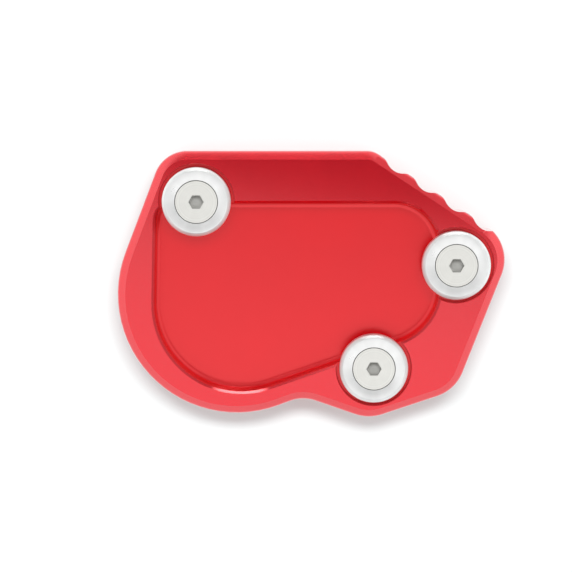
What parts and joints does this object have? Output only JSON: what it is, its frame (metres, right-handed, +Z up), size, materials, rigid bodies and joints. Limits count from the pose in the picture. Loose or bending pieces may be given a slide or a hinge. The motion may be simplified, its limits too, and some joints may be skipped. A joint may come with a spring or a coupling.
{
  "type": "kickstand foot enlarger",
  "caption": "Milled foot enlarger for a motorbike side stand: a plate with a sunk seat and scalloped edge, and round clamp discs under countersunk screws.",
  "frame": {"origin": "on the underside, below the middle of the plate's outline", "axes": "+X along the plate's longest side, towards the nose and away from the large round lobe; +Y towards the straight top edge; +Z up out of the seat"},
  "size_m": [0.088, 0.0608, 0.0134],
  "materials": {
    "red_anodised": "satin red anodising on milled aluminium",
    "bright_aluminium": "bright turned aluminium",
    "stainless_steel": "plain stainless steel"
  },
  "bodies": {
    "root": {"base_plate": "red_anodised", "clamp_disc_left": "bright_aluminium", "clamp_disc_right": "bright_aluminium", "clamp_disc_lower": "bright_aluminium", "screw_left": "stainless_steel", "screw_right": "stainless_steel", "screw_lower": "stainless_steel"}
  },
  "joints": []
}
